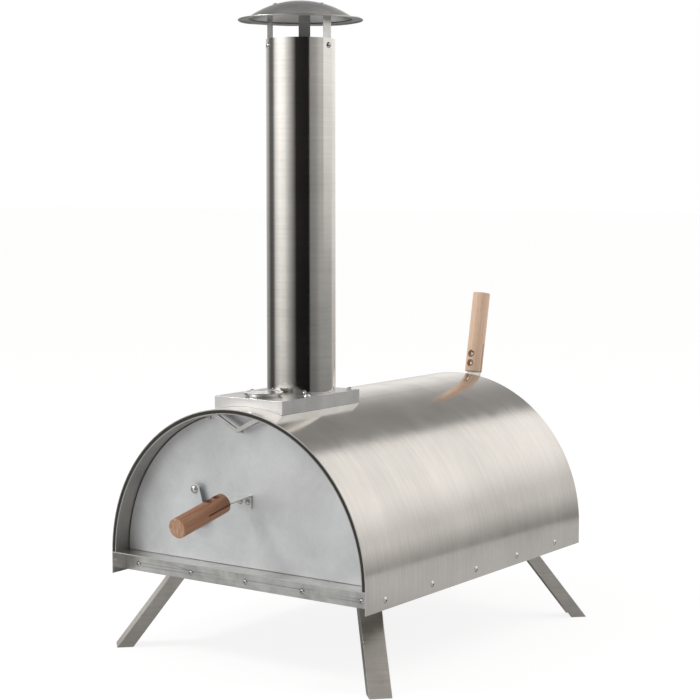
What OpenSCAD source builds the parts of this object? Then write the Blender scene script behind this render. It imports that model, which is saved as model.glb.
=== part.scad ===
/* [Oven body] */
// Outer width across the arch
body_w = 402; // [380:1:420]
// Length of the outer shell, front edge to back edge
body_l = 524; // [500:1:560]
// Straight skirt below the arch
skirt_h = 28; // [26:1:34]
// Sheet thickness of the outer shell
shell_t = 1.2; // [1:0.1:1.5]
// Gap between the outer shell and the inner shell
wall_gap = 4.2; // [3:0.1:5]
// Depth of the door recess behind the front edge
recess = 25; // [20:1:30]

/* [Legs] */
// Height of the skirt's lower edge above the ground
leg_h = 101; // [90:1:120]
// Horizontal spread of a leg over that height, along its diagonal
leg_spread = 77; // [60:1:84]
// Distance between the left and right feet
foot_span_x = 422; // [400:1:430]
// Front feet, behind the front edge
foot_front_in = 17; // [10:1:30]
// Rear feet, ahead of the back edge
foot_back_in = 3; // [0:1:20]
// Width of the leg channel
leg_w = 28; // [24:1:32]
// Depth of the leg channel
leg_d = 17; // [15:1:19]

/* [Chimney] */
// Outer diameter of the pipe
pipe_d = 88; // [80:1:92]
// Length of the pipe
pipe_l = 446; // [300:1:500]
// Pipe axis behind the front edge
pipe_in = 142.6; // [138:0.2:150]
// Width of the box that carries the pipe
base_w = 107.2; // [104:0.2:120]
// Top of that box above the crown of the arch
base_rise = 10; // [8:1:14]
// Diameter of the rain cap
cap_d = 157; // [130:1:180]
// Height of the cap's dome
cap_h = 24; // [18:1:30]
// Gap between the pipe's rim and the cap's rim
cap_gap = 24; // [15:1:30]

/* [Handles] */
// Diameter of the wooden dowels
dowel_d = 25; // [22:0.5:28]
// Length of the door's dowel
door_dowel_l = 88; // [70:1:110]
// Length of the hopper lid's dowel
lid_dowel_l = 118; // [90:1:130]

/* [Hidden] */
$fn = 64;
fine = 180;
eps = 0.5;
steel = [0.72, 0.71, 0.69];
dark_steel = [0.35, 0.34, 0.33];
beech = [0.72, 0.53, 0.36];
// The origin lies on the ground, at the middle of the whole oven's length and width.
reach_front = 105.47;
reach_back = 99.8;
front_y = (reach_front - body_l - reach_back) / 2;
back_y = front_y + body_l;
foot_front_y = front_y + foot_front_in;
foot_back_y = back_y - foot_back_in;
body_r = body_w / 2;
arch_z = leg_h + skirt_h;
liner_t = 1;
blanket_r = body_r - shell_t;
liner_r = blanket_r - wall_gap;
oven_r = liner_r - liner_t;
panel_t = 1.2;
floor_z = arch_z + 0.2;
lip_y = front_y + recess;
panel_y = back_y - panel_t;
pan_top = leg_h + 20;
pan_foot = leg_h + 2;
// Rivets
rivet_d = 4;
rivet_head = 8;
rivet_head_h = 1.7;
lip_rivet_z = leg_h + 10.2;
lip_rivet_x = 88.8;
side_rivet_z = leg_h + 11.8;
side_rivet_in = 40;
side_rivet_step = 103.4;
rivets_a_row = 5;
// Stone and baffle
stone_w = 340;
stone_l = 350;
stone_t = 12;
stone_y = front_y + 45;
baffle_w = 200;
baffle_h = 62;
baffle_y = stone_y + stone_l + 5;
baffle_foot = 14;
// Chimney
pipe_y = front_y + pipe_in;
pipe_r = pipe_d / 2;
pipe_t = 1;
base_y0 = front_y + 33;
base_y1 = front_y + 196;
base_top = arch_z + body_r + base_rise;
base_t = 1.2;
collar_r = pipe_r - pipe_t - 0.3;
collar_up = 36;
collar_z0 = arch_z + sqrt(oven_r * oven_r - collar_r * collar_r) - 3;
flange_x = 98;
flange_y = 102;
base_screw_x = 44;
base_screw_y = 46;
pipe_z0 = base_top + 0.2;
pipe_z1 = pipe_z0 + pipe_l;
cap_r = cap_d / 2;
cap_z = pipe_z1 + cap_gap;
cap_top = cap_z + cap_h;
cap_t = 1;
cap_brim = 11;
brim_drop = 2;
dome_base = cap_r - cap_brim;
dome_h = cap_h - brim_drop;
dome_r = (dome_base * dome_base + dome_h * dome_h) / (2 * dome_h);
strap_w = 15;
strap_t = 1.5;
strap_r = sqrt(pow(pipe_r - pipe_t - 0.1, 2) - pow(strap_w / 2, 2)) - strap_t;
strap_down = 28;
strap_tab = 13;
strap_tilt = asin((strap_r - strap_tab / 2) / dome_r);
strap_screw_down = 9;
// Thermometer
dial_y = front_y + 63;
dial_r = 25;
dial_h = 5.5;
dial_waist = 21.5;
dial_wall = 1.6;
dial_z = base_top + 0.1;
stem_d = 6;
stem_end = base_top - 62;
// Door
door_y = lip_y;
door_t = 1.2;
door_r = oven_r - 1.1;
door_z = floor_z + 0.5;
door_foot = 3;
door_heel = 1.6;
door_rim = 13;
bracket_z = leg_h + 120.5;
bracket_slope = 5.5;
handle_slope = 12;
handle_y = front_y - 17;
handle_z = bracket_z - (door_y - handle_y) * tan(bracket_slope);
slot_l = 42;
tongue_w = 24;
tongue_t = 1.5;
slot_tongue_w = 19;
slot_play = 0.2;
dowel_screws = [12, 26];
bore_d = 11;
bore_deep = 5;
bracket_screw_x = 6;
bracket_screw_z = bracket_z - 9;
peep_x = -75;
peep_z = leg_h + 120;
peep_drop = 32;
peep_r = 11;
cover_top_r = 8;
cover_r = 17;
cover_t = 1.5;
cover_y = door_y - 6;
peep_pin_d = 5;
// Hopper
hop_w = 110;
hop_d = 70;
hop_t = 1.2;
hop_z0 = leg_h + 22;
lid_tilt = 11;
lid_y = back_y + hop_d / 2;
lid_z = leg_h + 193;
hop_mouth_w = 92;
hop_mouth_z0 = leg_h + 29;
hop_mouth_z1 = leg_h + 90;
hop_flange = 16;
hop_rivet_z = [leg_h + 45, leg_h + 110, leg_h + 175];
lid_w = 118;
lid_d = 80;
lid_rim = 7;
lid_seat = 0.4;
lid_front = 3 - hop_d / 2;
lid_lift = 32;
// Fire tray
tray_w = 84;
tray_y0 = back_y - 100;
tray_y1 = back_y + hop_d + 0.6;
tray_z = floor_z + 2.2;
tray_h = 10;
tray_t = 1.2;
tray_face_w = 104;
tray_face_z0 = leg_h + 24;
tray_face_z1 = leg_h + 95;
basket_w = 76;
basket_h = 44;
basket_y0 = tray_y0 + 4;
basket_y1 = back_y + hop_d - 6;
basket_t = 1.2;
basket_hole = 6;
// Legs
leg_t = 1.5;
leg_tilt = atan(leg_spread / leg_h);
pivot_z = leg_h + 6;
pivot_in = leg_d / 2;
pin_d = 6;
leg_top = 7;
ear_t = 2;
ear_gap = 0.4;
web_cut = 9;

// ---- shared shapes ----

// Half disc of radius r standing on a rectangle of height drop
module arch_2d(r, drop) {
    intersection() {
        circle(r = r, $fn = fine);
        translate([-r, 0]) square([2 * r, r]);
    }
    if (drop > 0) translate([-r, -drop]) square([2 * r, drop + 0.001]);
}

// An arch-shaped plate from y0 to y1, its centre at height arch_z
module arch_plate(r, drop, y0, y1) {
    translate([0, y1, arch_z]) rotate([90, 0, 0]) linear_extrude(y1 - y0) arch_2d(r, drop);
}

// A box given by its lowest and highest corners
module block(lo, hi) {
    translate(lo) cube([hi[0] - lo[0], hi[1] - lo[1], hi[2] - lo[2]]);
}

// A blind rivet with its domed head on +Z and its seat at z = 0
module blind_rivet(grip) {
    ball = (pow(rivet_head / 2, 2) + pow(rivet_head_h, 2)) / (2 * rivet_head_h);
    difference() {
        intersection() {
            translate([0, 0, rivet_head_h - ball]) sphere(r = ball);
            cylinder(d = rivet_head, h = rivet_head_h);
        }
        translate([0, 0, 0.4]) cylinder(d = 2.2, h = rivet_head_h);
    }
    translate([0, 0, -grip]) cylinder(d = rivet_d, h = grip);
    translate([0, 0, -grip - 2.6]) cylinder(d = rivet_d + 1.6, h = 2.6);
}

// A pan-head screw with its seat at z = 0, a cross recess, and a nut at the end of its grip
module pan_screw(head, high, shank, grip, nut_d, nut_h) {
    ball = (pow(head / 2, 2) + pow(high, 2)) / (2 * high);
    difference() {
        intersection() {
            translate([0, 0, high - ball]) sphere(r = ball);
            cylinder(d = head, h = high);
        }
        for (turn = [0, 90])
            rotate(turn) translate([-head * 0.25, -head * 0.05, high * 0.45]) cube([head * 0.5, head * 0.1, high]);
    }
    translate([0, 0, -grip - nut_h]) cylinder(d = shank, h = grip + nut_h);
    if (nut_h > 0) translate([0, 0, -grip - nut_h]) cylinder(d = nut_d, h = nut_h, $fn = 6);
}

module row_x(step, y, z) {
    for (i = [0:rivets_a_row - 1]) translate([(i - (rivets_a_row - 1) / 2) * step, y, z]) children();
}

module side_row() {
    for (i = [0:rivets_a_row - 1])
        translate([0, front_y + side_rivet_in + i * side_rivet_step, side_rivet_z]) children();
}

module at_base_screws(z) {
    for (x = [-base_screw_x, base_screw_x], y = [-base_screw_y, base_screw_y])
        translate([x, pipe_y + y, z]) children();
}

// ---- body ----

module outer_shell() color(steel) difference() {
    arch_plate(body_r, skirt_h, front_y, back_y);
    arch_plate(body_r - shell_t, skirt_h + eps, front_y - eps, back_y + eps);
    side_row() translate([-body_w, 0, 0]) rotate([0, 90, 0]) cylinder(d = rivet_d, h = 2 * body_w);
    translate([0, pipe_y, arch_z]) cylinder(r = collar_r + 0.5, h = 2 * body_r);
    translate([0, dial_y, arch_z]) cylinder(d = stem_d + 1, h = 2 * body_r);
}

module insulation_blanket() color([0.12, 0.12, 0.12]) difference() {
    arch_plate(blanket_r, 0, front_y + 0.6, panel_y);
    arch_plate(liner_r, eps, front_y, back_y);
    translate([0, pipe_y, arch_z]) cylinder(r = collar_r + 0.5, h = 2 * body_r);
    translate([0, dial_y, arch_z]) cylinder(d = stem_d + 1, h = 2 * body_r);
    block([-body_r, front_y, arch_z - eps], [body_r, back_y, floor_z]);
}

module inner_shell() color(steel) difference() {
    arch_plate(liner_r, 0, front_y + 0.2, panel_y);
    arch_plate(oven_r, eps, front_y - eps, back_y);
    translate([0, pipe_y, arch_z]) cylinder(r = collar_r, h = 2 * body_r);
    translate([0, dial_y, arch_z]) cylinder(d = stem_d + 1, h = 2 * body_r);
    block([-body_r, front_y, arch_z - eps], [body_r, back_y, floor_z]);
    for (x = [-1, 1])
        translate([x * retainer_tab_x, retainer_y + retainer_d / 2, arch_z]) cylinder(d = 3, h = body_r);
}

module rear_panel() color(steel) difference() {
    arch_plate(blanket_r, skirt_h - 1, panel_y, back_y);
    block([-hop_mouth_w / 2, panel_y - eps, hop_mouth_z0], [hop_mouth_w / 2, back_y + eps, arch_z + 90]);
    row_x(lip_rivet_x, back_y + eps, lip_rivet_z) rotate([90, 0, 0]) cylinder(d = rivet_d, h = 3);
    at_hopper_rivets(back_y + eps) rotate([90, 0, 0]) cylinder(d = rivet_d, h = 3);
}

module floor_plate() color(steel)
    block([-blanket_r, front_y, floor_z - panel_t], [blanket_r, panel_y, floor_z]);

module front_lip() color(steel) difference() {
    block([-blanket_r, lip_y, leg_h + 1], [blanket_r, lip_y + panel_t, floor_z - panel_t]);
    row_x(lip_rivet_x, lip_y + 2 * panel_t, lip_rivet_z) rotate([90, 0, 0]) cylinder(d = rivet_d, h = 4);
}

module bottom_pan() color(steel) difference() {
    block([-blanket_r, lip_y + panel_t, pan_foot], [blanket_r, panel_y, pan_top]);
    block([-blanket_r + panel_t, lip_y + 2 * panel_t, pan_foot - eps],
        [blanket_r - panel_t, panel_y - panel_t, pan_top - panel_t]);
    row_x(lip_rivet_x, lip_y + 3 * panel_t, lip_rivet_z) rotate([90, 0, 0]) cylinder(d = rivet_d, h = 4);
    row_x(lip_rivet_x, back_y, lip_rivet_z) rotate([90, 0, 0]) cylinder(d = rivet_d, h = 4);
    side_row() translate([-body_w, 0, 0]) rotate([0, 90, 0]) cylinder(d = rivet_d, h = 2 * body_w);
    at_leg_corners() at_bracket_rivets() cylinder(d = rivet_d, h = 4, center = true);
}

module lip_rivets() color(steel)
    row_x(lip_rivet_x, lip_y, lip_rivet_z) rotate([90, 0, 0]) blind_rivet(2 * panel_t);

module rear_rivets() color(steel)
    row_x(lip_rivet_x, back_y, lip_rivet_z) rotate([-90, 0, 0]) blind_rivet(2 * panel_t);

module side_rivets() color(steel)
    for (side = [-1, 1]) side_row() translate([side * body_r, 0, 0])
        rotate([0, side * 90, 0]) blind_rivet(shell_t + panel_t);

// ---- door retainer: a bent strip under the crown, just in front of the door ----

retainer_half = 39.5;
retainer_h = 19.8;
retainer_d = 10;
retainer_y = front_y + 9.5;
retainer_t = 1.2;
retainer_lip = 5;
retainer_tab = 12;
roll_r = 1.5;
roll_l = 8;
retainer_tab_x = retainer_half + 6;
retainer_z = arch_z + sqrt(oven_r * oven_r - retainer_half * retainer_half);
retainer_a = atan(retainer_h / retainer_half);

module vee_2d(thick) {
    up = thick / cos(retainer_a);
    polygon([[-retainer_half, 0], [0, -retainer_h], [retainer_half, 0], [retainer_half, up],
        [0, up - retainer_h], [-retainer_half, up]]);
}

module under_crown() {
    intersection() {
        children();
        arch_plate(oven_r - 0.05, 0, front_y, front_y + 2 * recess);
    }
}

module door_retainer() color(steel) difference() {
    union() {
        under_crown() translate([0, retainer_y + retainer_d, retainer_z]) rotate([90, 0, 0])
            linear_extrude(retainer_d) vee_2d(retainer_t);
        under_crown() translate([0, retainer_y + retainer_t, retainer_z]) rotate([90, 0, 0])
            linear_extrude(retainer_t) vee_2d(retainer_lip);
        // The rolled rear edge of the point, which the door turns about
        translate([0, retainer_y + retainer_d - roll_r, retainer_z - retainer_h + 0.5]) rotate([0, 90, 0])
            cylinder(r = roll_r, h = roll_l, center = true);
        for (x = [-1, 1]) intersection() {
            difference() {
                arch_plate(oven_r - 0.05, 0, retainer_y, retainer_y + retainer_d);
                arch_plate(oven_r - 0.05 - retainer_t, eps, front_y, front_y + 2 * recess);
            }
            translate([x * (retainer_half + retainer_tab / 2 - 2), 0, retainer_z])
                cube([retainer_tab, 4 * body_l, 60], center = true);
        }
    }
    for (x = [-1, 1])
        translate([x * retainer_tab_x, retainer_y + retainer_d / 2, arch_z]) cylinder(d = 3, h = body_r);
}

module retainer_screws() color(dark_steel)
    for (x = [-1, 1])
        translate([x * retainer_tab_x, retainer_y + retainer_d / 2, retainer_z - 5.2])
            mirror([0, 0, 1]) pan_screw(5.5, 1.8, 3, 4, 0, 0);

// ---- stone and baffle ----

module pizza_stone() color([0.8, 0.74, 0.64])
    block([-stone_w / 2, stone_y, floor_z], [stone_w / 2, stone_y + stone_l, floor_z + stone_t]);

module flame_baffle() color(dark_steel) {
    block([-baffle_w / 2, baffle_y, floor_z], [baffle_w / 2, baffle_y + 1.5, floor_z + baffle_h]);
    block([-baffle_w / 2, baffle_y, floor_z], [baffle_w / 2, baffle_y + baffle_foot, floor_z + 1.5]);
}

// ---- chimney base, collar, pipe and cap ----

module chimney_base() color(steel) difference() {
    block([-base_w / 2, base_y0, arch_z + body_r - 20], [base_w / 2, base_y1, base_top]);
    block([base_t - base_w / 2, base_y0 + base_t, arch_z], [base_w / 2 - base_t, base_y1 - base_t, base_top - base_t]);
    arch_plate(body_r + 0.1, 0, front_y - eps, back_y + eps);
    translate([0, pipe_y, arch_z]) cylinder(r = collar_r + 0.3, h = 2 * body_r);
    translate([0, dial_y, arch_z]) cylinder(d = stem_d + 1, h = 2 * body_r);
    at_base_screws(base_top - 3) cylinder(d = 4, h = 6);
}

module base_screws() color(steel)
    at_base_screws(base_top) pan_screw(9, 3, 4, 2 * base_t, 7, 3);

module flue_collar() color(steel) difference() {
    union() {
        translate([0, pipe_y, collar_z0]) cylinder(r = collar_r, h = base_top + collar_up - collar_z0, $fn = fine);
        block([-flange_x / 2, pipe_y - flange_y / 2, base_top - 2 * base_t],
            [flange_x / 2, pipe_y + flange_y / 2, base_top - base_t]);
    }
    translate([0, pipe_y, arch_z]) cylinder(r = collar_r - pipe_t, h = 2 * body_r, $fn = fine);
    at_base_screws(base_top - 6) cylinder(d = 4, h = 8);
}

module chimney_pipe() color(steel) difference() {
    translate([0, pipe_y, pipe_z0]) cylinder(r = pipe_r, h = pipe_l, $fn = fine);
    translate([0, pipe_y, pipe_z0 - eps]) cylinder(r = pipe_r - pipe_t, h = pipe_l + 2 * eps, $fn = fine);
    for (turn = strap_turns) at_strap(turn) translate([0, 0, pipe_z1 - strap_screw_down])
        rotate([0, 90, 0]) cylinder(d = 4, h = 2 * pipe_r);
}

// Straps stand inside the pipe, front left, right and back left
strap_turns = [-120, 0, 120];
module at_strap(turn) {
    translate([0, pipe_y, 0]) rotate(turn) children();
}

module cap_strap(turn) color(steel) at_strap(turn) difference() {
    rotate([90, 0, 0]) linear_extrude(strap_w, center = true) strap_profile();
    at_cap_rivet() cylinder(d = 3.2, h = 12, center = true);
    translate([0, 0, pipe_z1 - strap_screw_down]) rotate([0, 90, 0]) cylinder(d = 4, h = 2 * pipe_r);
}

// The strip's side outline: upright inside the pipe, then folded in along the dome
module strap_profile() {
    outer = strap_r + strap_t;
    fold = strap_t * (1 - sin(strap_tilt)) / cos(strap_tilt);
    polygon([
        [strap_r, pipe_z1 - strap_down],
        [outer, pipe_z1 - strap_down],
        [outer, strap_top],
        [outer - strap_tab * cos(strap_tilt), strap_top + strap_tab * sin(strap_tilt)],
        [outer - strap_tab * cos(strap_tilt) - strap_t * sin(strap_tilt),
         strap_top + strap_tab * sin(strap_tilt) - strap_t * cos(strap_tilt)],
        [strap_r, strap_top - strap_t * cos(strap_tilt) + fold * sin(strap_tilt)]
    ]);
}

// The strap's top meets the dome's underside
strap_top = cap_top - dome_r + sqrt(pow(dome_r - cap_t, 2) - pow(strap_r + strap_t, 2)) - 0.1;

module at_cap_rivet() {
    reach = strap_r + strap_t - strap_tab / 2 - 1;
    lean = asin(reach / dome_r);
    translate([0, 0, cap_top - dome_r]) rotate([0, lean, 0]) translate([0, 0, dome_r]) children();
}

module strap_screws() color(steel)
    for (turn = strap_turns) at_strap(turn) translate([pipe_r, 0, pipe_z1 - strap_screw_down])
        rotate([0, 90, 0]) pan_screw(8, 2.6, 4, pipe_r - strap_r, 7, 2.6);

module chimney_cap() color(steel) difference() {
    translate([0, pipe_y, 0]) {
        intersection() {
            translate([0, 0, cap_top - dome_r]) difference() {
                sphere(r = dome_r, $fn = fine);
                sphere(r = dome_r - cap_t, $fn = fine);
            }
            translate([0, 0, cap_z + brim_drop - cap_t]) cylinder(r = cap_r, h = 2 * cap_h, $fn = fine);
        }
        rotate_extrude($fn = fine) polygon([[dome_base - 2, cap_z + brim_drop - cap_t], [cap_r, cap_z],
            [cap_r, cap_z + cap_t], [dome_base, cap_z + brim_drop + 0.05]]);
    }
    for (turn = strap_turns) at_strap(turn) at_cap_rivet() cylinder(d = 3.2, h = 12, center = true);
}

module cap_rivets() color(steel)
    for (turn = strap_turns) at_strap(turn) at_cap_rivet() {
        intersection() {
            translate([0, 0, -2.6]) sphere(r = 4);
            cylinder(d = 6.4, h = 2);
        }
        translate([0, 0, -cap_t - strap_t - 1.6]) cylinder(d = 3.2, h = cap_t + strap_t + 1.6);
    }

// ---- thermometer ----

module thermometer_case() color(steel) translate([0, dial_y, dial_z]) difference() {
    union() {
        cylinder(r1 = dial_waist, r2 = dial_r - 0.4, h = dial_h - 1.2);
        translate([0, 0, dial_h - 1.2]) cylinder(r = dial_r, h = 1.2);
    }
    translate([0, 0, dial_h - 3]) cylinder(r = dial_r - 2 * dial_wall, h = dial_h);
    translate([0, 0, -eps]) cylinder(d = stem_d, h = 2 * dial_h);
}

module thermometer_dial() color("white") translate([0, dial_y, dial_z + dial_h - 3]) difference() {
    cylinder(r = dial_r - 2 * dial_wall - 0.02, h = 0.6);
    translate([0, 0, -eps]) cylinder(d = stem_d, h = dial_h);
}

module thermometer_glass() color([0.85, 0.9, 0.92]) translate([0, dial_y, dial_z + dial_h - 1.2])
    cylinder(r = dial_r - 2 * dial_wall - 0.02, h = 0.9);

module thermometer_stem() color(steel) translate([0, dial_y, 0]) {
    translate([0, 0, stem_end]) cylinder(d = stem_d, h = dial_z + dial_h - 2.7 - stem_end);
    translate([0, 0, base_top - base_t - 4]) cylinder(d = 14, h = 4 - 0.1, $fn = 6);
}

module thermometer_needle() color([0.75, 0.1, 0.08]) translate([0, dial_y, dial_z + dial_h - 2.2]) rotate(-60) {
    translate([-dial_r * 0.62, -0.6, 0]) cube([dial_r * 0.82, 1.2, 0.4]);
    cylinder(r = 2.4, h = 0.5);
}

// ---- door ----

module door_panel() color(steel) difference() {
    arch_plate(door_r, 0, door_y, door_y + door_rim);
    difference() {
        arch_plate(door_r - door_t, 0, door_y + door_t, door_y + door_rim + eps);
        block([-body_r, front_y, 0], [body_r, back_y, door_z + door_t]);
    }
    block([-body_r, front_y, 0], [body_r, back_y, door_z]);
    block([-body_r, door_y + door_foot, 0], [body_r, back_y, door_z + door_heel]);
    translate([peep_x, door_y + 3, peep_z - peep_drop]) rotate([90, 0, 0]) cylinder(r = peep_r, h = 6);
    translate([peep_x, door_y + 3, peep_z]) rotate([90, 0, 0]) cylinder(d = peep_pin_d, h = 6);
    at_bracket_screws(door_y + 3) rotate([90, 0, 0]) cylinder(d = 3.5, h = 6);
}

module at_bracket_screws(y) {
    for (x = [-bracket_screw_x, bracket_screw_x]) translate([x, y, bracket_screw_z]) children();
}

module door_bracket() color(steel) difference() {
    union() {
        block([-tongue_w / 2, door_y - tongue_t, bracket_z - 17], [tongue_w / 2, door_y, bracket_z]);
        translate([0, door_y, bracket_z]) rotate([bracket_slope, 0, 0])
            block([-tongue_w / 2, -(door_y - handle_y) / cos(bracket_slope) - 0.6, -tongue_t],
                [tongue_w / 2, -0.2, 0]);
        at_door_handle() block([-tongue_w / 2, -tongue_t / 2, -2], [tongue_w / 2, tongue_t / 2, -0.2]);
        at_door_handle() block([-slot_tongue_w / 2, -tongue_t / 2, -2], [slot_tongue_w / 2, tongue_t / 2, slot_l - 1]);
    }
    at_bracket_screws(door_y + eps) rotate([90, 0, 0]) cylinder(d = 3.5, h = 4);
    at_door_handle() dowel_screw_holes(4);
}

module door_bracket_screws() color(steel)
    at_bracket_screws(door_y - tongue_t) rotate([90, 0, 0]) pan_screw(8.5, 2.8, 3.5, tongue_t + door_t, 6, 2.4);

// Dowel frame: +Z along the grip away from its root, +Y through the slot
module at_door_handle() {
    translate([0, handle_y, handle_z - tongue_t / 2]) rotate([90 + handle_slope, 0, 0]) children();
}

module dowel_screw_holes(d) {
    for (z = dowel_screws) translate([0, -dowel_d, z]) rotate([-90, 0, 0]) cylinder(d = d, h = 2 * dowel_d);
}

module dowel(length) difference() {
    rotate_extrude($fn = 96) polygon([[0, 0], [dowel_d / 2 - 1, 0], [dowel_d / 2, 1],
        [dowel_d / 2, length - 1], [dowel_d / 2 - 1, length], [0, length]]);
    translate([-dowel_d, -tongue_t / 2 - slot_play, -eps])
        cube([2 * dowel_d, tongue_t + 2 * slot_play, slot_l + eps]);
    dowel_screw_holes(4);
    for (z = dowel_screws, turn = [-1, 1])
        translate([0, turn * (dowel_d / 2 - bore_deep), z]) rotate([-turn * 90, 0, 0])
            cylinder(d = bore_d, h = dowel_d);
}

module dowel_screw_set() {
    for (z = dowel_screws) translate([0, dowel_d / 2 - bore_deep, z]) rotate([-90, 0, 0])
        pan_screw(8.5, 2.8, 4, dowel_d - 2 * bore_deep, 8, 2.8);
}

module door_handle() color(beech) at_door_handle() dowel(door_dowel_l);
module door_handle_screws() color(dark_steel) at_door_handle() dowel_screw_set();

module peephole_pivot() color(steel) translate([peep_x, 0, peep_z]) {
    translate([0, door_y, 0]) rotate([90, 0, 0]) cylinder(d = 9, h = door_y - cover_y - 0.3);
    translate([0, cover_y - cover_t - 0.3, 0]) rotate([90, 0, 0])
        pan_screw(11, 3.4, peep_pin_d, door_y - cover_y + cover_t + 0.3 + door_t, 8, 2.5);
}

module peephole_cover() color(steel) translate([peep_x, cover_y, peep_z]) rotate([90, 0, 0]) {
    slope = (cover_r - cover_top_r) / peep_drop;
    run = sqrt(1 - slope * slope);
    linear_extrude(cover_t) difference() {
        union() {
            circle(r = cover_top_r);
            translate([0, -peep_drop]) circle(r = cover_r);
            polygon([[cover_top_r * run, cover_top_r * slope], [-cover_top_r * run, cover_top_r * slope],
                [-cover_r * run, cover_r * slope - peep_drop], [cover_r * run, cover_r * slope - peep_drop]]);
        }
        circle(d = peep_pin_d + 0.1);
    }
}

// ---- hopper ----

module at_hopper_rivets(y) {
    for (x = [-1, 1], z = hop_rivet_z) translate([x * (hop_w + hop_flange) / 2, y, z]) children();
}

// Everything above the hopper's sloping mouth
module above_mouth(lift) {
    translate([0, lid_y, lid_z + lift]) rotate([-lid_tilt, 0, 0]) translate([-200, -200, 0]) cube([400, 400, 200]);
}

module hopper_body() color(steel) difference() {
    union() {
        block([-hop_w / 2, back_y, hop_z0], [hop_w / 2, back_y + hop_d, lid_z + 40]);
        block([-hop_w / 2 - hop_flange, back_y, hop_z0 + 10], [hop_w / 2 + hop_flange, back_y + hop_t, lid_z - 10]);
    }
    block([hop_t - hop_w / 2, back_y - eps, hop_z0 + hop_t], [hop_w / 2 - hop_t, back_y + hop_t + eps, arch_z + 90]);
    block([hop_t - hop_w / 2, back_y + hop_t, hop_z0 + hop_t], [hop_w / 2 - hop_t, back_y + hop_d - hop_t, lid_z + 60]);
    block([-hop_mouth_w / 2, lid_y, hop_mouth_z0], [hop_mouth_w / 2, back_y + 2 * hop_d, hop_mouth_z1]);
    above_mouth(0);
    at_hopper_rivets(back_y + 3) rotate([90, 0, 0]) cylinder(d = rivet_d, h = 6);
}

module hopper_rivets() color(steel)
    at_hopper_rivets(back_y + hop_t) rotate([-90, 0, 0]) blind_rivet(hop_t + panel_t);

module at_lid() {
    translate([0, lid_y, lid_z]) rotate([-lid_tilt, 0, 0]) children();
}

// The lid's rim runs round three sides and stops short of the rear panel
module hopper_lid() color(steel) at_lid() difference() {
    block([-lid_w / 2, lid_front, -lid_rim], [lid_w / 2, lid_d / 2, lid_seat + hop_t]);
    block([hop_t - lid_w / 2, lid_front - eps, -lid_rim - eps], [lid_w / 2 - hop_t, lid_d / 2 - hop_t, lid_seat]);
}

module at_lid_handle() {
    at_lid() translate([0, 0, lid_seat + hop_t + lid_lift]) rotate(180) children();
}

module lid_bracket() color(steel) difference() {
    union() {
        at_lid_handle() block([-tongue_w / 2, -tongue_t / 2, -lid_lift], [tongue_w / 2, tongue_t / 2, -0.2]);
        at_lid_handle() block([-slot_tongue_w / 2, -tongue_t / 2, -2], [slot_tongue_w / 2, tongue_t / 2, slot_l - 1]);
        at_lid_handle() block([-tongue_w / 2, -tongue_t / 2, -lid_lift], [tongue_w / 2, 16, tongue_t - lid_lift]);
    }
    at_lid_handle() dowel_screw_holes(4);
}

module lid_handle() color(beech) at_lid_handle() dowel(lid_dowel_l);
module lid_handle_screws() color(dark_steel) at_lid_handle() dowel_screw_set();

// ---- fire tray ----

module fire_tray() color(steel) difference() {
    union() {
        difference() {
            block([-tray_w / 2, tray_y0, tray_z], [tray_w / 2, tray_y1 + tray_t / 2, tray_z + tray_h]);
            block([tray_t - tray_w / 2, tray_y0 + tray_t, tray_z + tray_t],
                [tray_w / 2 - tray_t, tray_y1, tray_z + 2 * tray_h]);
        }
        block([-tray_face_w / 2, tray_y1, tray_face_z0], [tray_face_w / 2, tray_y1 + tray_t, tray_face_z1]);
    }
}

module fire_basket() color(dark_steel) difference() {
    low = tray_z + tray_t;
    long = basket_y1 - basket_y0;
    block([-basket_w / 2, basket_y0, low], [basket_w / 2, basket_y1, low + basket_h]);
    block([basket_t - basket_w / 2, basket_y0 + basket_t, low + basket_t],
        [basket_w / 2 - basket_t, basket_y1 - basket_t, low + 2 * basket_h]);
    for (x = [-2:2], y = [0:9])
        translate([x * 13, basket_y0 + long * (y + 0.5) / 10, low - eps]) cylinder(d = basket_hole, h = 3);
    for (z = [0:1], y = [0:9])
        translate([-basket_w, basket_y0 + long * (y + 0.5) / 10, low + 18 + z * 13])
            rotate([0, 90, 0]) cylinder(d = basket_hole, h = 2 * basket_w);
}

module tray_pull() color(steel) {
    out = 28;
    half = 30;
    y = tray_y1 + tray_t;
    z = (tray_face_z0 + tray_face_z1) / 2;
    for (x = [-half, half]) {
        block([x - 1, y, z - 7], [x + 1, y + out, z + 7]);
        block([x - (x > 0 ? 1 : 9), y, z - 7], [x + (x > 0 ? 9 : 1), y + 1.5, z + 7]);
    }
    block([-half - 1, y + out - 2, z - 7], [half + 1, y + out, z + 7]);
}

// ---- legs: folded channels that hinge on pins under the pan ----

// Corner frame: +X points outwards along the diagonal, z = 0 is the ground
module at_corner(side, end) {
    translate([side * foot_span_x / 2, end < 0 ? foot_front_y : foot_back_y, 0]) rotate(atan2(end, side)) children();
}

module at_leg_corners() {
    for (side = [-1, 1], end = [-1, 1]) at_corner(side, end) children();
}

pivot_x = -pivot_z * tan(leg_tilt) - pivot_in / cos(leg_tilt);
module at_pivot() {
    translate([pivot_x, 0, pivot_z]) children();
}

module at_bracket_rivets() {
    for (x = [-1, 1]) translate([pivot_x + x * 19, 0, pan_top - panel_t / 2]) children();
}

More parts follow.
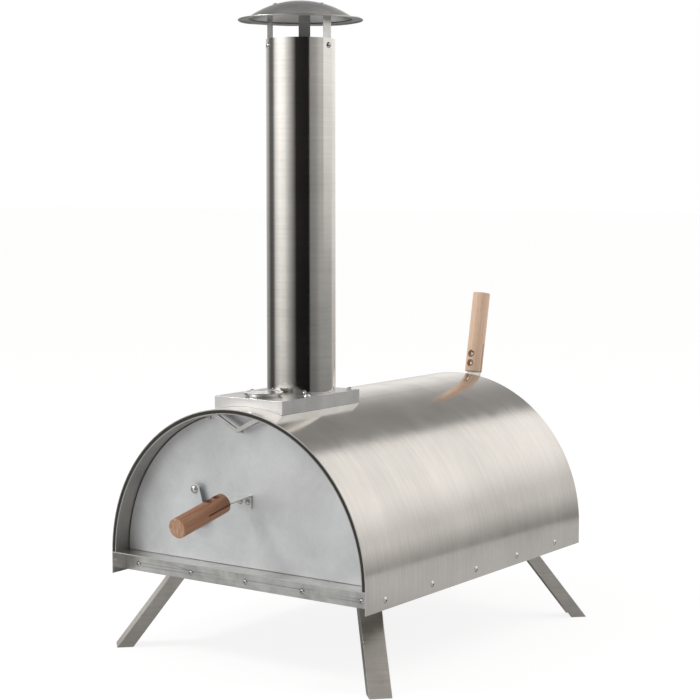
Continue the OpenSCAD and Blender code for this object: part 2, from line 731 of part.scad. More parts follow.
module leg(side, end) color(steel) at_corner(side, end) difference() {
    intersection() {
        at_pivot() rotate([0, -leg_tilt, 0]) translate([-pivot_in, -leg_w / 2, -2 * leg_h]) difference() {
            cube([leg_d, leg_w, 2 * leg_h + leg_top]);
            translate([-leg_t, leg_t, -eps]) cube([leg_d, leg_w - 2 * leg_t, 2 * leg_h + leg_top + 2 * eps]);
        }
        translate([-body_l, -body_l, 0]) cube([2 * body_l, 2 * body_l, 2 * leg_h]);
    }
    at_pivot() rotate([0, -leg_tilt, 0])
        block([0, leg_t - leg_w / 2, -web_cut], [leg_d, leg_w / 2 - leg_t, 2 * leg_h]);
    at_pivot() rotate([90, 0, 0]) cylinder(d = pin_d + 0.1, h = 2 * leg_w, center = true);
}

module leg_bracket(side, end) color(steel) at_corner(side, end) difference() {
    ear_y = leg_w / 2 - leg_t - ear_gap;
    under = pan_top - panel_t;
    union() {
        for (turn = [0, 180]) at_pivot() rotate(turn) {
            translate([0, ear_y, 0]) rotate([90, 0, 0]) cylinder(r = 5, h = ear_t);
            block([-5, ear_y - ear_t, 0], [5, ear_y, under - pivot_z]);
        }
        at_pivot() block([-25, -ear_y, under - pivot_z - 1.5], [25, ear_y, under - pivot_z]);
    }
    at_pivot() rotate([90, 0, 0]) cylinder(d = pin_d, h = 2 * leg_w, center = true);
    at_bracket_rivets() cylinder(d = rivet_d, h = 12, center = true);
}

module leg_pin(side, end) color(dark_steel) at_corner(side, end) {
    at_pivot() rotate([90, 0, 0]) {
        cylinder(d = pin_d, h = leg_w + 0.8, center = true);
        for (turn = [0, 180]) rotate([turn, 0, 0]) translate([0, 0, leg_w / 2 + 0.4]) cylinder(d = 9, h = 1.8);
    }
    at_bracket_rivets() translate([0, 0, panel_t / 2]) {
        translate([0, 0, -panel_t - 1.5]) cylinder(d = rivet_d, h = panel_t + 1.5);
        cylinder(d = rivet_head, h = 1.5);
        translate([0, 0, -panel_t - 3]) cylinder(d = rivet_head - 1, h = 1.5);
    }
}

outer_shell();
insulation_blanket();
inner_shell();
rear_panel();
floor_plate();
front_lip();
bottom_pan();
lip_rivets();
side_rivets();
rear_rivets();
door_retainer();
retainer_screws();
pizza_stone();
flame_baffle();
chimney_base();
base_screws();
flue_collar();
hopper_body();
hopper_rivets();
leg_bracket(-1, -1);  // leg_bracket_fl
leg_bracket(1, -1);  // leg_bracket_fr
leg_bracket(-1, 1);  // leg_bracket_bl
leg_bracket(1, 1);  // leg_bracket_br
leg_pin(-1, -1);  // leg_pin_fl
leg_pin(1, -1);  // leg_pin_fr
leg_pin(-1, 1);  // leg_pin_bl
leg_pin(1, 1);  // leg_pin_br
leg(-1, -1);  // leg_fl
leg(1, -1);  // leg_fr
leg(-1, 1);  // leg_bl
leg(1, 1);  // leg_br
thermometer_case();
thermometer_dial();
thermometer_glass();
thermometer_stem();
thermometer_needle();
chimney_pipe();
cap_strap(strap_turns[0]);  // cap_strap_left
cap_strap(strap_turns[1]);  // cap_strap_right
cap_strap(strap_turns[2]);  // cap_strap_rear
strap_screws();
chimney_cap();
cap_rivets();
door_panel();
door_bracket();
door_bracket_screws();
door_handle();
door_handle_screws();
peephole_pivot();
peephole_cover();
fire_tray();
fire_basket();
tray_pull();
hopper_lid();
lid_bracket();
lid_handle();
lid_handle_screws();
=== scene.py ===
import math
import random

import bmesh
import bpy
from mathutils import Euler, Matrix, Vector


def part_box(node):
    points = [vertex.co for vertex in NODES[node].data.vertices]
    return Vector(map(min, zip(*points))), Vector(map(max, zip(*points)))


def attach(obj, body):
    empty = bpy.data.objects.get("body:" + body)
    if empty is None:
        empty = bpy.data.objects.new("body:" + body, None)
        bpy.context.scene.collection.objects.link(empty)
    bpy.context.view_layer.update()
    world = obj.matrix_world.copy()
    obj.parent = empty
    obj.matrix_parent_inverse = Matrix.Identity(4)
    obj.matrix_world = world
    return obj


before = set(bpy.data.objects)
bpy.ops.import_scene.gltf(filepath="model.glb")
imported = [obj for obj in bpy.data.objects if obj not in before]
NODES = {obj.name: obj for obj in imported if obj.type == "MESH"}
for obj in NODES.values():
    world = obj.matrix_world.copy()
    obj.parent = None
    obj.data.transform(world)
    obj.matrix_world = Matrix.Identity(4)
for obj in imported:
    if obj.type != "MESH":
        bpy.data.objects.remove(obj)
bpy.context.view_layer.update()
random.seed(7)

# ---------------------------------------------------------------- camera

CAMERA_AZIMUTH = math.radians(35.46)
CAMERA_ELEVATION = math.radians(5.41)
CAMERA_DISTANCE = 2.3587
CAMERA_LENS = 90.9
CAMERA_TARGET = Vector((0.0, -0.0088, 0.3837))


def toward(azimuth, elevation):
    """Unit vector from the oven; azimuth 0 is out of the door, 90 degrees is to +X."""
    flat = math.cos(elevation)
    return Vector((math.sin(azimuth) * flat, -math.cos(azimuth) * flat, math.sin(elevation)))


def make_camera():
    data = bpy.data.cameras.new("camera")
    data.lens = CAMERA_LENS
    data.sensor_width = 36.0
    data.clip_end = 50.0
    camera = bpy.data.objects.new("camera", data)
    bpy.context.scene.collection.objects.link(camera)
    back = toward(CAMERA_AZIMUTH, CAMERA_ELEVATION)
    camera.location = CAMERA_TARGET + back * CAMERA_DISTANCE
    camera.rotation_euler = back.to_track_quat("Z", "Y").to_euler()
    bpy.context.scene.camera = camera


# ---------------------------------------------------------------- studio

# What a vertical steel tube sees round the horizon: degrees from the door, and brightness
HORIZON = [(-180, 1.0), (-150, 0.9), (-125, 0.75), (-100, 0.48), (-84, 0.13), (-68, 0.17), (-55, 1.1),
           (-38, 1.5), (-20, 1.3), (-5, 0.72), (10, 0.32), (21, 0.025), (64, 0.015), (68, 0.32), (88, 0.4),
           (104, 0.6), (158, 0.66), (166, 1.05), (180, 1.0)]
# What shows higher up, where the back right softbox ends above the crown of the arch
OVERHEAD = [(-180, 0.3), (-120, 0.25), (-70, 0.5), (-35, 1.0), (0, 0.5), (60, 0.3), (110, 0.8),
            (140, 1.12), (176, 1.12), (180, 0.3)]


def ramp(tree, stops, span=(-180.0, 180.0), ease="LINEAR"):
    """A colour ramp over a span, from (place, grey) or (place, colour) stops."""
    node = tree.nodes.new("ShaderNodeValToRGB")
    node.color_ramp.interpolation = ease
    points = node.color_ramp.elements
    while len(points) < len(stops):
        points.new(0.5)
    for point, (place, value) in zip(points, stops):
        point.position = (place - span[0]) / (span[1] - span[0])
        colour = value if isinstance(value, tuple) else (value, value, value)
        point.color = (*colour, 1.0)
    return node


def maths(tree, operation, a, b=None, clamp=False):
    node = tree.nodes.new("ShaderNodeMath")
    node.operation = operation
    node.use_clamp = clamp
    for socket, value in zip(node.inputs, (a, b)):
        if isinstance(value, (int, float)):
            socket.default_value = value
        elif value is not None:
            tree.links.new(value, socket)
    return node.outputs[0]


def blend_colour(tree, factor, a, b, mode="MIX"):
    node = tree.nodes.new("ShaderNodeMix")
    node.data_type = "RGBA"
    node.blend_type = mode
    for socket, value in ((node.inputs[0], factor), (node.inputs[6], a), (node.inputs[7], b)):
        if isinstance(value, (int, float)):
            socket.default_value = value
        elif isinstance(value, tuple):
            socket.default_value = (*value, 1.0)
        else:
            tree.links.new(value, socket)
    return node.outputs[2]


def make_world():
    world = bpy.data.worlds.new("studio")
    bpy.context.scene.world = world
    world.use_nodes = True
    tree = world.node_tree
    tree.nodes.clear()
    coords = tree.nodes.new("ShaderNodeTexCoord")
    split = tree.nodes.new("ShaderNodeSeparateXYZ")
    tree.links.new(coords.outputs["Generated"], split.inputs[0])
    back = maths(tree, "MULTIPLY", split.outputs["Y"], -1.0)
    angle = maths(tree, "ARCTAN2", split.outputs["X"], back)
    turn = maths(tree, "MULTIPLY_ADD", angle, 0.5 / math.pi)
    tree.nodes[-1].inputs[2].default_value = 0.5
    horizon, overhead = ramp(tree, HORIZON), ramp(tree, OVERHEAD)
    tree.links.new(turn, horizon.inputs[0])
    tree.links.new(turn, overhead.inputs[0])
    up = tree.nodes.new("ShaderNodeMapRange")
    up.interpolation_type = "SMOOTHSTEP"
    tree.links.new(split.outputs["Z"], up.inputs[0])
    up.inputs[1].default_value, up.inputs[2].default_value = 0.17, 0.52
    low = remap(tree, split.outputs["Z"], -0.2, 0.07, 0.19, 1.18)
    wall = blend_colour(tree, 1.0, horizon.outputs[0], low, "MULTIPLY")
    grey = blend_colour(tree, up.outputs[0], wall, overhead.outputs[0])
    warm = blend_colour(tree, 1.0, grey, (1.0, 0.985, 0.96), "MULTIPLY")
    lit = tree.nodes.new("ShaderNodeBackground")
    tree.links.new(warm, lit.inputs[0])
    plain = tree.nodes.new("ShaderNodeBackground")
    plain.inputs[0].default_value = (1.0, 1.0, 1.0, 1.0)
    plain.inputs[1].default_value = 1.0
    path = tree.nodes.new("ShaderNodeLightPath")
    choose = tree.nodes.new("ShaderNodeMixShader")
    out = tree.nodes.new("ShaderNodeOutputWorld")
    tree.links.new(path.outputs["Is Camera Ray"], choose.inputs[0])
    tree.links.new(lit.outputs[0], choose.inputs[1])
    tree.links.new(plain.outputs[0], choose.inputs[2])
    tree.links.new(choose.outputs[0], out.inputs[0])


def area_light(name, azimuth, elevation, distance, size, power, colour=(1, 1, 1)):
    data = bpy.data.lights.new(name, "AREA")
    data.size = size
    data.energy = power
    data.color = colour
    light = bpy.data.objects.new(name, data)
    bpy.context.scene.collection.objects.link(light)
    place = toward(math.radians(azimuth), math.radians(elevation))
    light.location = CAMERA_TARGET + place * distance
    light.rotation_euler = place.to_track_quat("Z", "Y").to_euler()
    return light


def make_softbox():
    """A tall panel off the back right corner. It stands clear of the ground, so the flank of the
    arch sees less of it the lower it goes, while the pipe sees all of it."""
    bearing, distance, half_width, foot, top = math.radians(136), 1.5, 0.62, 0.42, 2.4
    way = toward(bearing, 0.0)
    across = Vector((-way.y, way.x, 0.0))
    bm = bmesh.new()
    corners = [(-1, foot), (1, foot), (1, top), (-1, top)]
    bm.faces.new([bm.verts.new(way * distance + across * side * half_width + Vector((0, 0, height)))
                  for side, height in corners])
    mesh = bpy.data.meshes.new("softbox")
    bm.to_mesh(mesh)
    bm.free()
    material, tree, shader = new_material("softbox")
    tree.nodes.remove(shader)
    glow, clear, mix = (tree.nodes.new(kind) for kind in
                        ("ShaderNodeEmission", "ShaderNodeBsdfTransparent", "ShaderNodeMixShader"))
    glow.inputs["Color"].default_value = (1.0, 0.985, 0.96, 1.0)
    glow.inputs["Strength"].default_value = 1.12
    split = tree.nodes.new("ShaderNodeSeparateXYZ")
    tree.links.new(object_space(tree), split.inputs[0])
    tree.links.new(remap(tree, split.outputs["Z"], foot, 0.85, 0.0, 1.0), mix.inputs[0])
    tree.links.new(clear.outputs[0], mix.inputs[1])
    tree.links.new(glow.outputs[0], mix.inputs[2])
    tree.links.new(mix.outputs[0], tree.nodes["Material Output"].inputs["Surface"])
    mesh.materials.append(material)
    panel = bpy.data.objects.new("softbox", mesh)
    bpy.context.scene.collection.objects.link(panel)
    panel.visible_camera = False
    panel.visible_shadow = False


def make_floor():
    size = 30.0
    mesh = bpy.data.meshes.new("floor")
    bm = bmesh.new()
    bmesh.ops.create_grid(bm, x_segments=8, y_segments=8, size=size)
    bm.to_mesh(mesh)
    bm.free()
    floor = bpy.data.objects.new("floor", mesh)
    bpy.context.scene.collection.objects.link(floor)
    floor.location.z = -0.0005
    mesh.materials.append(floor_material())
    floor.visible_glossy = False
    mesh = bpy.data.meshes.new("sweep")
    bm = bmesh.new()
    bmesh.ops.create_circle(bm, cap_ends=True, segments=64, radius=1.25)
    bm.to_mesh(mesh)
    bm.free()
    mesh.materials.append(sweep_material())
    sweep = bpy.data.objects.new("sweep", mesh)
    bpy.context.scene.collection.objects.link(sweep)
    sweep.location.z = -0.0003
    sweep.visible_camera = sweep.visible_diffuse = sweep.visible_shadow = False
    sweep.visible_transmission = False


# ---------------------------------------------------------------- materials

def new_material(name):
    material = bpy.data.materials.new(name)
    material.use_nodes = True
    tree = material.node_tree
    shader = tree.nodes["Principled BSDF"]
    return material, tree, shader


def object_space(tree, scale=(1, 1, 1), place=None, turn=None):
    """Object coordinates in metres, scaled, or seen in a frame at place turned by turn."""
    coords = tree.nodes.new("ShaderNodeTexCoord")
    source = coords.outputs["Object"]
    if place is not None:
        local = tree.nodes.new("ShaderNodeMapping")
        local.vector_type = "TEXTURE"
        local.inputs["Location"].default_value = place
        local.inputs["Rotation"].default_value = turn
        tree.links.new(source, local.inputs["Vector"])
        source = local.outputs[0]
    mapping = tree.nodes.new("ShaderNodeMapping")
    mapping.inputs["Scale"].default_value = scale
    tree.links.new(source, mapping.inputs["Vector"])
    return mapping.outputs[0]


def noise(tree, vector, scale, detail=3.0, rough=0.5, distortion=0.0):
    node = tree.nodes.new("ShaderNodeTexNoise")
    node.inputs["Scale"].default_value = scale
    node.inputs["Detail"].default_value = detail
    node.inputs["Roughness"].default_value = rough
    node.inputs["Distortion"].default_value = distortion
    tree.links.new(vector, node.inputs["Vector"])
    return node.outputs[0]


def remap(tree, value, low, high, to_low, to_high):
    node = tree.nodes.new("ShaderNodeMapRange")
    tree.links.new(value, node.inputs[0])
    for socket, number in zip(node.inputs[1:5], (low, high, to_low, to_high)):
        socket.default_value = number
    return node.outputs[0]


def bump(tree, shader, height, strength, distance, below=None):
    node = tree.nodes.new("ShaderNodeBump")
    node.inputs["Strength"].default_value = strength
    node.inputs["Distance"].default_value = distance
    tree.links.new(height, node.inputs["Height"])
    if below is not None:
        tree.links.new(below, node.inputs["Normal"])
    tree.links.new(node.outputs[0], shader.inputs["Normal"])
    return node.outputs[0]


def edge_wear_and_highlight_mask(tree, radius):
    """Near 1 along a sheet's edges, 0 on its faces; these edges are lightened partly as wear and partly as a painted
    highlight.
    """
    bevel = tree.nodes.new("ShaderNodeBevel")
    bevel.samples = 4
    bevel.inputs["Radius"].default_value = radius
    geometry = tree.nodes.new("ShaderNodeNewGeometry")
    dot = tree.nodes.new("ShaderNodeVectorMath")
    dot.operation = "DOT_PRODUCT"
    tree.links.new(bevel.outputs[0], dot.inputs[0])
    tree.links.new(geometry.outputs["Normal"], dot.inputs[1])
    return remap(tree, dot.outputs["Value"], 0.97, 0.8, 0.0, 1.0)


def steel(name, grain, colour=(0.66, 0.645, 0.62), rough=0.24, spread=0.10, stretch=0.0,
          axis=None, blotch=9.0, streak=0.35, lift=0.12, edges=0.0008, metal=1.0, mottle=1.0):
    """Brushed stainless sheet. grain is the streak frequency along x, y and z; the highlight is
    stretched across the grain when axis, the axis that the sheet curves round, is given."""
    material, tree, shader = new_material(name)
    fine = noise(tree, object_space(tree, grain), 1.0, 4.0, 0.65)
    lines = noise(tree, object_space(tree, tuple(g * 0.22 for g in grain)), 1.0, 3.0, 0.6)
    cloud = noise(tree, object_space(tree), blotch, 5.0, 0.6, 0.4)
    smear = noise(tree, object_space(tree, (1.0, 1.0, 0.35)), blotch * 4.0, 3.0, 0.55)
    dark = tuple(c * (1.0 - 0.14 * mottle) for c in colour)
    light = tuple(min(1.0, c * (1.0 + 0.09 * mottle)) for c in colour)
    tone = maths(tree, "ADD", maths(tree, "MULTIPLY", cloud, 1.0 - streak), maths(tree, "MULTIPLY", lines, streak))
    base = blend_colour(tree, remap(tree, tone, 0.34, 0.66, 0.0, 1.0), dark, light)
    if edges:
        # Edges lighten towards (0.83, 0.82, 0.8): partly rubbed wear, partly a painted highlight along the sheet
        # edges.
        wear_and_highlight = edge_wear_and_highlight_mask(tree, edges)
        base = blend_colour(tree, maths(tree, "MULTIPLY", wear_and_highlight, 0.55), base, (0.83, 0.82, 0.8))
    tree.links.new(base, shader.inputs["Base Color"])
    shader.inputs["Metallic"].default_value = metal
    mix = maths(tree, "ADD", maths(tree, "MULTIPLY", smear, 0.55), maths(tree, "MULTIPLY", fine, 0.45))
    tree.links.new(remap(tree, mix, 0.3, 0.7, rough - spread / 2, rough + spread), shader.inputs["Roughness"])
    if axis:
        shader.inputs["Anisotropic"].default_value = stretch
        shader.inputs["Anisotropic Rotation"].default_value = 0.25
        tangent = tree.nodes.new("ShaderNodeTangent")
        tangent.direction_type = "RADIAL"
        tangent.axis = axis
        tree.links.new(tangent.outputs[0], shader.inputs["Tangent"])
    waves = bump(tree, shader, cloud, 0.04, 0.004)
    bump(tree, shader, fine, lift, 0.00004, waves)
    return material


def bright_steel(name, colour=(0.72, 0.715, 0.7), rough=0.16):
    """Small turned and headed parts: close to polished, with faint lathe marks and grime."""
    return steel(name, (700, 700, 700), colour, rough, 0.12, blotch=160.0, streak=0.2, lift=0.25, edges=0)


def felt_material():
    material, tree, shader = new_material("felt")
    fibre = noise(tree, object_space(tree), 1500.0, 4.0, 0.7)
    clump = noise(tree, object_space(tree), 220.0, 3.0, 0.6)
    base = blend_colour(tree, fibre, (0.012, 0.012, 0.012), (0.05, 0.048, 0.045))
    tree.links.new(base, shader.inputs["Base Color"])
    tree.links.new(remap(tree, clump, 0.3, 0.7, 0.8, 1.0), shader.inputs["Roughness"])
    shader.inputs["Sheen Weight"].default_value = 0.1
    bump(tree, shader, fibre, 0.7, 0.0004)
    return material


def stone_material():
    """Cordierite: pale buff, sandy, with coarse darker grains and fine pits."""
    material, tree, shader = new_material("stone")
    sand = noise(tree, object_space(tree), 900.0, 4.0, 0.7)
    stain = noise(tree, object_space(tree), 14.0, 4.0, 0.6)
    cells = tree.nodes.new("ShaderNodeTexVoronoi")
    cells.inputs["Scale"].default_value = 260.0
    tree.links.new(object_space(tree), cells.inputs["Vector"])
    base = blend_colour(tree, stain, (0.62, 0.52, 0.4), (0.8, 0.72, 0.6))
    base = blend_colour(tree, remap(tree, cells.outputs[0], 0.0, 0.16, 0.55, 0.0), base, (0.36, 0.29, 0.22))
    base = blend_colour(tree, maths(tree, "MULTIPLY", sand, 0.35), base, (0.9, 0.84, 0.74))
    tree.links.new(base, shader.inputs["Base Color"])
    tree.links.new(remap(tree, sand, 0.3, 0.7, 0.8, 0.96), shader.inputs["Roughness"])
    bump(tree, shader, sand, 0.5, 0.0004)
    return material


def wood_material(name, node, lean, pale, deep, fleck, pith, sawn):
    """Solid wood turned along the dowel's own axis: growth rings, fine pores, and paler end grain
    that keeps the marks of the saw."""
    material, tree, shader = new_material(name)
    low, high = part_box(node)
    middle = tuple((a + b) / 2 for a, b in zip(low, high))
    turn = (lean, 0.0, 0.0)
    axis = Euler(turn).to_matrix() @ Vector((0.0, 0.0, 1.0))
    half = max(abs((v.co - Vector(middle)).dot(axis)) for v in NODES[node].data.vertices)
    bend = noise(tree, object_space(tree, (14, 14, 5), middle, turn), 1.0, 3.0, 0.5)
    along = object_space(tree, (1, 1, 0.06), middle, turn)
    shifted = tree.nodes.new("ShaderNodeVectorMath")
    shifted.operation = "ADD"
    tree.links.new(along, shifted.inputs[0])
    offset = tree.nodes.new("ShaderNodeCombineXYZ")
    for socket, amount in zip(offset.inputs, pith):
        tree.links.new(maths(tree, "MULTIPLY_ADD", bend, 0.006), socket)
        tree.nodes[-1].inputs[2].default_value = amount
    tree.links.new(offset.outputs[0], shifted.inputs[1])
    rings = tree.nodes.new("ShaderNodeTexWave")
    rings.wave_type = "RINGS"
    rings.rings_direction = "Z"
    rings.wave_profile = "SAW"
    rings.inputs["Scale"].default_value = 95.0
    rings.inputs["Distortion"].default_value = 2.2
    rings.inputs["Detail"].default_value = 3.0
    rings.inputs["Detail Scale"].default_value = 1.4
    tree.links.new(shifted.outputs[0], rings.inputs["Vector"])
    pores = noise(tree, object_space(tree, (2200, 2200, 70), middle, turn), 1.0, 3.0, 0.6)
    fibre = noise(tree, object_space(tree, (700, 700, 16), middle, turn), 1.0, 4.0, 0.65)
    ray = noise(tree, object_space(tree, (260, 1500, 110), middle, turn), 1.0, 2.0, 0.5)
    base = blend_colour(tree, remap(tree, rings.outputs[1], 0.1, 0.9, 0.15, 0.75), pale, deep)
    base = blend_colour(tree, remap(tree, fibre, 0.35, 0.68, 0.0, 0.5), base, deep)
    base = blend_colour(tree, remap(tree, pores, 0.58, 0.72, 0.0, 0.75), base, fleck)
    base = blend_colour(tree, remap(tree, ray, 0.64, 0.75, 0.0, 0.35), base, pale)
    split = tree.nodes.new("ShaderNodeSeparateXYZ")
    tree.links.new(object_space(tree, (1, 1, 1), middle, turn), split.inputs[0])
    depth = maths(tree, "ABSOLUTE", split.outputs["Z"])
    end = remap(tree, depth, half - 0.0014, half - 0.0006, 0.0, 1.0)
    cuts = noise(tree, object_space(tree, (1500, 120, 300), middle, turn), 1.0, 4.0, 0.7)
    face = blend_colour(tree, remap(tree, cuts, 0.4, 0.62, 0.0, 1.0), sawn, deep)
    base = blend_colour(tree, maths(tree, "MULTIPLY", end, 0.85), base, face)
    tree.links.new(base, shader.inputs["Base Color"])
    tree.links.new(remap(tree, fibre, 0.3, 0.7, 0.42, 0.62), shader.inputs["Roughness"])
    shader.inputs["Specular IOR Level"].default_value = 0.4
    grainy = bump(tree, shader, pores, 0.35, 0.0003)
    bump(tree, shader, fibre, 0.3, 0.0003, grainy)
    return material


def paint_material(name, colour, rough):
    material, tree, shader = new_material(name)
    peel = noise(tree, object_space(tree), 600.0, 3.0, 0.5)
    grime = noise(tree, object_space(tree), 60.0, 4.0, 0.6)
    shade = tuple(c * 0.88 for c in colour)
    tree.links.new(blend_colour(tree, grime, shade, colour), shader.inputs["Base Color"])
    tree.links.new(remap(tree, grime, 0.3, 0.7, rough, rough + 0.12), shader.inputs["Roughness"])
    bump(tree, shader, peel, 0.08, 0.0001)
    return material


def glass_material():
    material, tree, shader = new_material("glass")
    smear = noise(tree, object_space(tree), 90.0, 3.0, 0.5)
    tree.links.new(blend_colour(tree, smear, (0.93, 0.96, 0.96), (1.0, 1.0, 1.0)), shader.inputs["Base Color"])
    tree.links.new(remap(tree, smear, 0.3, 0.7, 0.01, 0.06), shader.inputs["Roughness"])
    shader.inputs["Transmission Weight"].default_value = 1.0
    shader.inputs["IOR"].default_value = 1.45
    return material


def floor_material():
    material, tree, shader = new_material("floor")
    mottle = noise(tree, object_space(tree), 3.0, 4.0, 0.6)
    tree.links.new(blend_colour(tree, mottle, (0.93, 0.93, 0.93), (0.96, 0.96, 0.96)), shader.inputs["Base Color"])
    tree.links.new(remap(tree, mottle, 0.3, 0.7, 0.7, 0.8), shader.inputs["Roughness"])
    glow, path, mix = (tree.nodes.new(kind) for kind in
                       ("ShaderNodeEmission", "ShaderNodeLightPath", "ShaderNodeMixShader"))
    glow.inputs["Strength"].default_value = 1.12
    tree.links.new(maths(tree, "MULTIPLY", path.outputs["Is Camera Ray"], 0.76), mix.inputs[0])
    tree.links.new(shader.outputs[0], mix.inputs[1])
    tree.links.new(glow.outputs[0], mix.inputs[2])
    tree.links.new(mix.outputs[0], tree.nodes["Material Output"].inputs["Surface"])
    return material


def sweep_material():
    """The lit ground close round the oven, as its lowest sheets reflect it: a glowing disc seen only in reflections,
    dimmed under the oven as a painted shadow.
    """
    material, tree, shader = new_material("sweep")
    tree.nodes.remove(shader)
    glow = tree.nodes.new("ShaderNodeEmission")
    spread = tree.nodes.new("ShaderNodeVectorMath")
    spread.operation = "LENGTH"
    tree.links.new(object_space(tree), spread.inputs[0])
    # Painted shadow: the glow drops from 0.58 at 0.55 m out to 0.15 under the oven, where the oven shades the
    # ground.
    tree.links.new(remap(tree, spread.outputs["Value"], 0.15, 0.55, 0.15, 0.58), glow.inputs["Strength"])
    tree.links.new(glow.outputs[0], tree.nodes["Material Output"].inputs["Surface"])
    return material


# ---------------------------------------------------------------- dressing the CAD nodes

def paint(names, material):
    for name in names:
        mesh = NODES[name].data
        mesh.materials.clear()
        mesh.materials.append(material)


def soften(names, width, segments=2):
    """Rounds the sheet edges of a CAD node with modifiers, which leave its own mesh alone."""
    for name in names:
        node = NODES[name]
        weld = node.modifiers.new("weld", "WELD")
        weld.merge_threshold = 0.00001
        bevel = node.modifiers.new("edge", "BEVEL")
        bevel.width = width
        bevel.segments = segments
        bevel.limit_method = "ANGLE"
        bevel.angle_limit = math.radians(50)
        bevel.harden_normals = True


def islands(name):
    """Box (low, high) of each separate solid of a node."""
    bm = bmesh.new()
    bm.from_mesh(NODES[name].data)
    bmesh.ops.remove_doubles(bm, verts=bm.verts, dist=0.00001)
    todo = set(bm.verts)
    boxes = []
    while todo:
        group, edge = set(), [todo.pop()]
        while edge:
            vertex = edge.pop()
            group.add(vertex.co.copy().freeze())
            for link in vertex.link_edges:
                other = link.other_vert(vertex)
                if other in todo:
                    todo.remove(other)
                    edge.append(other)
        low = Vector(min(p[i] for p in group) for i in range(3))
        high = Vector(max(p[i] for p in group) for i in range(3))
        boxes.append((low, high))
    bm.free()
    return boxes


def link_piece(name, bm, material, body, smooth=True):
    mesh = bpy.data.meshes.new(name)
    bm.to_mesh(mesh)
    bm.free()
    for face in mesh.polygons:
        face.use_smooth = smooth
    mesh.materials.append(material)
    piece = bpy.data.objects.new(name, mesh)
    bpy.context.scene.collection.objects.link(piece)
    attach(piece, body)
    return piece


def lathe(bm, profile, matrix, steps=24):
    """Turns a profile of (radius, height) points round +Z and places it with matrix."""
    rings = []
    for radius, height in profile:
        ring = []
        for i in range(steps):
            angle = 2 * math.pi * i / steps
            point = Vector((radius * math.cos(angle), radius * math.sin(angle), height))
            ring.append(bm.verts.new(matrix @ point))
        rings.append(ring)
    for lower, upper in zip(rings, rings[1:]):
        for i in range(steps):
            j = (i + 1) % steps
            bm.faces.new((lower[i], lower[j], upper[j], upper[i]))
    bm.faces.new(list(reversed(rings[0])))
    bm.faces.new(rings[-1])


def make_mandrels(dark):
    """The snapped mandrel that shows in the eye of every blind rivet."""
    sides = {"lip_rivets": Vector((0, -1, 0)), "rear_rivets": Vector((0, 1, 0)),
             "hopper_rivets": Vector((0, 1, 0)), "side_rivets": None}
    profile = [(0.0010, 0.0), (0.0010, 0.00035), (0.0007, 0.0006), (0.0003, 0.00068)]
    for name, out in sides.items():
        bm = bmesh.new()
        for low, high in islands(name):
            middle = (low + high) / 2
            way = out or Vector((1 if middle.x > 0 else -1, 0, 0))
            face = Vector(h if w > 0 else (l if w < 0 else m) for l, h, m, w in zip(low, high, middle, way))
            seat = face - way * 0.00128
            lathe(bm, profile, Matrix.Translation(seat) @ way.to_track_quat("Z", "Y").to_matrix().to_4x4(), 16)
        link_piece(name.replace("rivets", "mandrels"), bm, dark, "oven")


def make_cap_rim(material):
    """The cap's edge is rolled into a thin, slightly wavy bead."""
    low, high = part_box("chimney_cap")
    centre = Vector(((low[0] + high[0]) / 2, (low[1] + high[1]) / 2, low[2]))
    radius = (high[0] - low[0]) / 2
    bm = bmesh.new()
    steps, sides, thick = 160, 10, 0.0009
    rings = []
    for i in range(steps):
        angle = 2 * math.pi * i / steps
        wave = 0.0007 * math.sin(3 * angle + 0.6) + 0.0004 * math.sin(7 * angle)
        out = Vector((math.cos(angle), math.sin(angle), 0))
        middle = centre + out * (radius - 0.0004) + Vector((0, 0, wave * 0.5))
        rings.append([bm.verts.new(middle + (out * math.cos(a) * 1.25 + Vector((0, 0, math.sin(a)))) * thick)
                      for a in (2 * math.pi * k / sides for k in range(sides))])
    for i in range(steps):
        here, ahead = rings[i], rings[(i + 1) % steps]
        for k in range(sides):
            bm.faces.new((here[k], here[(k + 1) % sides], ahead[(k + 1) % sides], ahead[k]))
    link_piece("cap_rolled_edge", bm, material, "chimney")


def make_dial_marks(ink):
    """Scale ticks printed round the thermometer's dial."""
    low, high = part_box("thermometer_dial")
    centre = Vector(((low[0] + high[0]) / 2, (low[1] + high[1]) / 2, high[2]))
    radius = (high[0] - low[0]) / 2
    bm = bmesh.new()
    ticks = 37
    for i in range(ticks):
        angle = math.radians(135 + 270 * i / (ticks - 1) - 90)
        major = i % 4 == 0
        inner, outer = radius * (0.72 if major else 0.79), radius * 0.88
        half = 0.00035 if major else 0.00018
        along, across = Vector((math.cos(angle), math.sin(angle), 0)), Vector((-math.sin(angle), math.cos(angle), 0))
        corners = [along * inner - across * half, along * outer - across * half,
                   along * outer + across * half, along * inner + across * half]
        low_ring = [bm.verts.new(centre + c) for c in corners]
        top_ring = [bm.verts.new(centre + c + Vector((0, 0, 0.00008))) for c in corners]
        bm.faces.new(top_ring)
        bm.faces.new(list(reversed(low_ring)))
        for k in range(4):
            bm.faces.new((low_ring[k], low_ring[(k + 1) % 4], top_ring[(k + 1) % 4], top_ring[k]))
    link_piece("dial_marks", bm, ink, "oven", smooth=False)


# ---------------------------------------------------------------- making

make_camera()
make_world()
make_floor()
make_softbox()
area_light("key", -46, 42, 2.6, 0.6, 26.0)
area_light("fill", 120, 50, 3.0, 1.6, 14.0).visible_glossy = False
bpy.context.scene.view_settings.view_transform = "Standard"

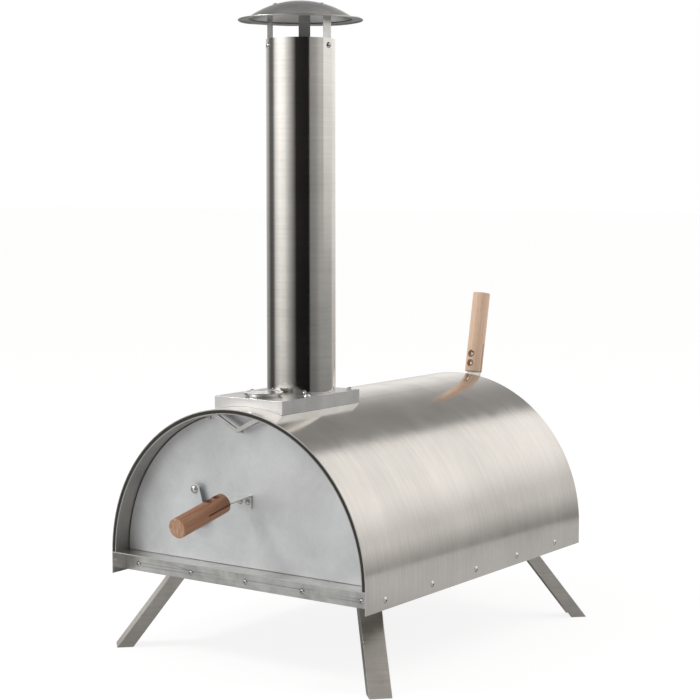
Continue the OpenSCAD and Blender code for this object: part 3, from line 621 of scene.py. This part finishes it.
ALONG_Y, ALONG_Z, ACROSS_X = (45, 1500, 45), (45, 45, 1500), (40, 1400, 1400)
shell_steel = steel("shell_steel", ALONG_Y, (0.7, 0.67, 0.635), 0.15, 0.08, 0.5, "Y", 6.0, 0.3)
pipe_steel = steel("pipe_steel", ALONG_Z, (0.68, 0.665, 0.635), 0.1, 0.06, 0.45, "Z", 9.0, 0.3)
door_steel = steel("door_steel", (900, 900, 900), (0.68, 0.695, 0.71), 0.42, 0.08, blotch=12.0, streak=0.15,
                   lift=0.2, metal=0.6)
lip_steel = steel("lip_steel", ACROSS_X, (0.58, 0.58, 0.565), 0.3, 0.16, blotch=26.0, streak=0.2, mottle=2.2)
plate_steel = steel("plate_steel", ACROSS_X, (0.62, 0.615, 0.6), 0.3, 0.14, blotch=18.0, streak=0.35)
leg_steel = steel("leg_steel", ALONG_Z, (0.66, 0.63, 0.58), 0.3, 0.12, blotch=22.0, streak=0.5)
box_steel = steel("box_steel", ACROSS_X, (0.74, 0.74, 0.735), 0.32, 0.1, blotch=14.0, streak=0.25)
cap_steel = steel("cap_steel", (60, 60, 900), (0.6, 0.6, 0.59), 0.3, 0.12, blotch=18.0, streak=0.3)
heat_steel = steel("heat_steel", ALONG_Y, (0.5, 0.48, 0.45), 0.34, 0.14, blotch=12.0, streak=0.3)
fastener_steel = bright_steel("fastener_steel")
dark_fastener = bright_steel("dark_fastener", (0.03, 0.03, 0.03), 0.5)
ink = paint_material("ink", (0.03, 0.03, 0.03), 0.5)

paint(["outer_shell"], shell_steel)
paint(["chimney_pipe", "flue_collar"], pipe_steel)
paint(["door_panel", "peephole_cover"], door_steel)
paint(["front_lip"], lip_steel)
paint(["floor_plate", "bottom_pan", "rear_panel", "hopper_body", "hopper_lid", "fire_tray",
       "tray_pull", "door_bracket", "lid_bracket", "door_retainer", "leg_bracket_fl", "leg_bracket_fr",
       "leg_bracket_bl", "leg_bracket_br"], plate_steel)
paint(["leg_fl", "leg_fr", "leg_bl", "leg_br"], leg_steel)
paint(["chimney_base"], box_steel)
paint(["chimney_cap", "cap_strap_left", "cap_strap_right", "cap_strap_rear"], cap_steel)
paint(["inner_shell", "flame_baffle", "fire_basket"], heat_steel)
paint(["lip_rivets", "side_rivets", "rear_rivets", "hopper_rivets", "retainer_screws", "base_screws",
       "strap_screws", "cap_rivets", "door_bracket_screws", "peephole_pivot", "thermometer_case",
       "thermometer_stem", "leg_pin_fl", "leg_pin_fr", "leg_pin_bl", "leg_pin_br"], fastener_steel)
paint(["door_handle_screws", "lid_handle_screws"], fastener_steel)
paint(["insulation_blanket"], felt_material())
paint(["pizza_stone"], stone_material())
HANDLE_LEAN, LID_LEAN = math.radians(102), math.radians(-11)
paint(["door_handle"], wood_material("door_wood", "door_handle", HANDLE_LEAN, (0.47, 0.255, 0.15),
                                     (0.27, 0.125, 0.07), (0.12, 0.05, 0.03), (0.03, 0.012, 0),
                                     (0.66, 0.42, 0.27)))
paint(["lid_handle"], wood_material("lid_wood", "lid_handle", LID_LEAN, (0.88, 0.66, 0.5),
                                    (0.72, 0.49, 0.35), (0.48, 0.31, 0.21), (-0.02, 0.03, 0),
                                    (0.84, 0.64, 0.48)))
paint(["thermometer_dial"], paint_material("dial_white", (0.85, 0.85, 0.83), 0.35))
paint(["thermometer_needle"], paint_material("needle_red", (0.55, 0.03, 0.02), 0.25))
paint(["thermometer_glass"], glass_material())

soften(["chimney_base", "front_lip", "door_retainer", "leg_fl", "leg_fr", "leg_bl", "leg_br"], 0.0003)
make_mandrels(dark_fastener)
make_cap_rim(cap_steel)
make_dial_marks(ink)
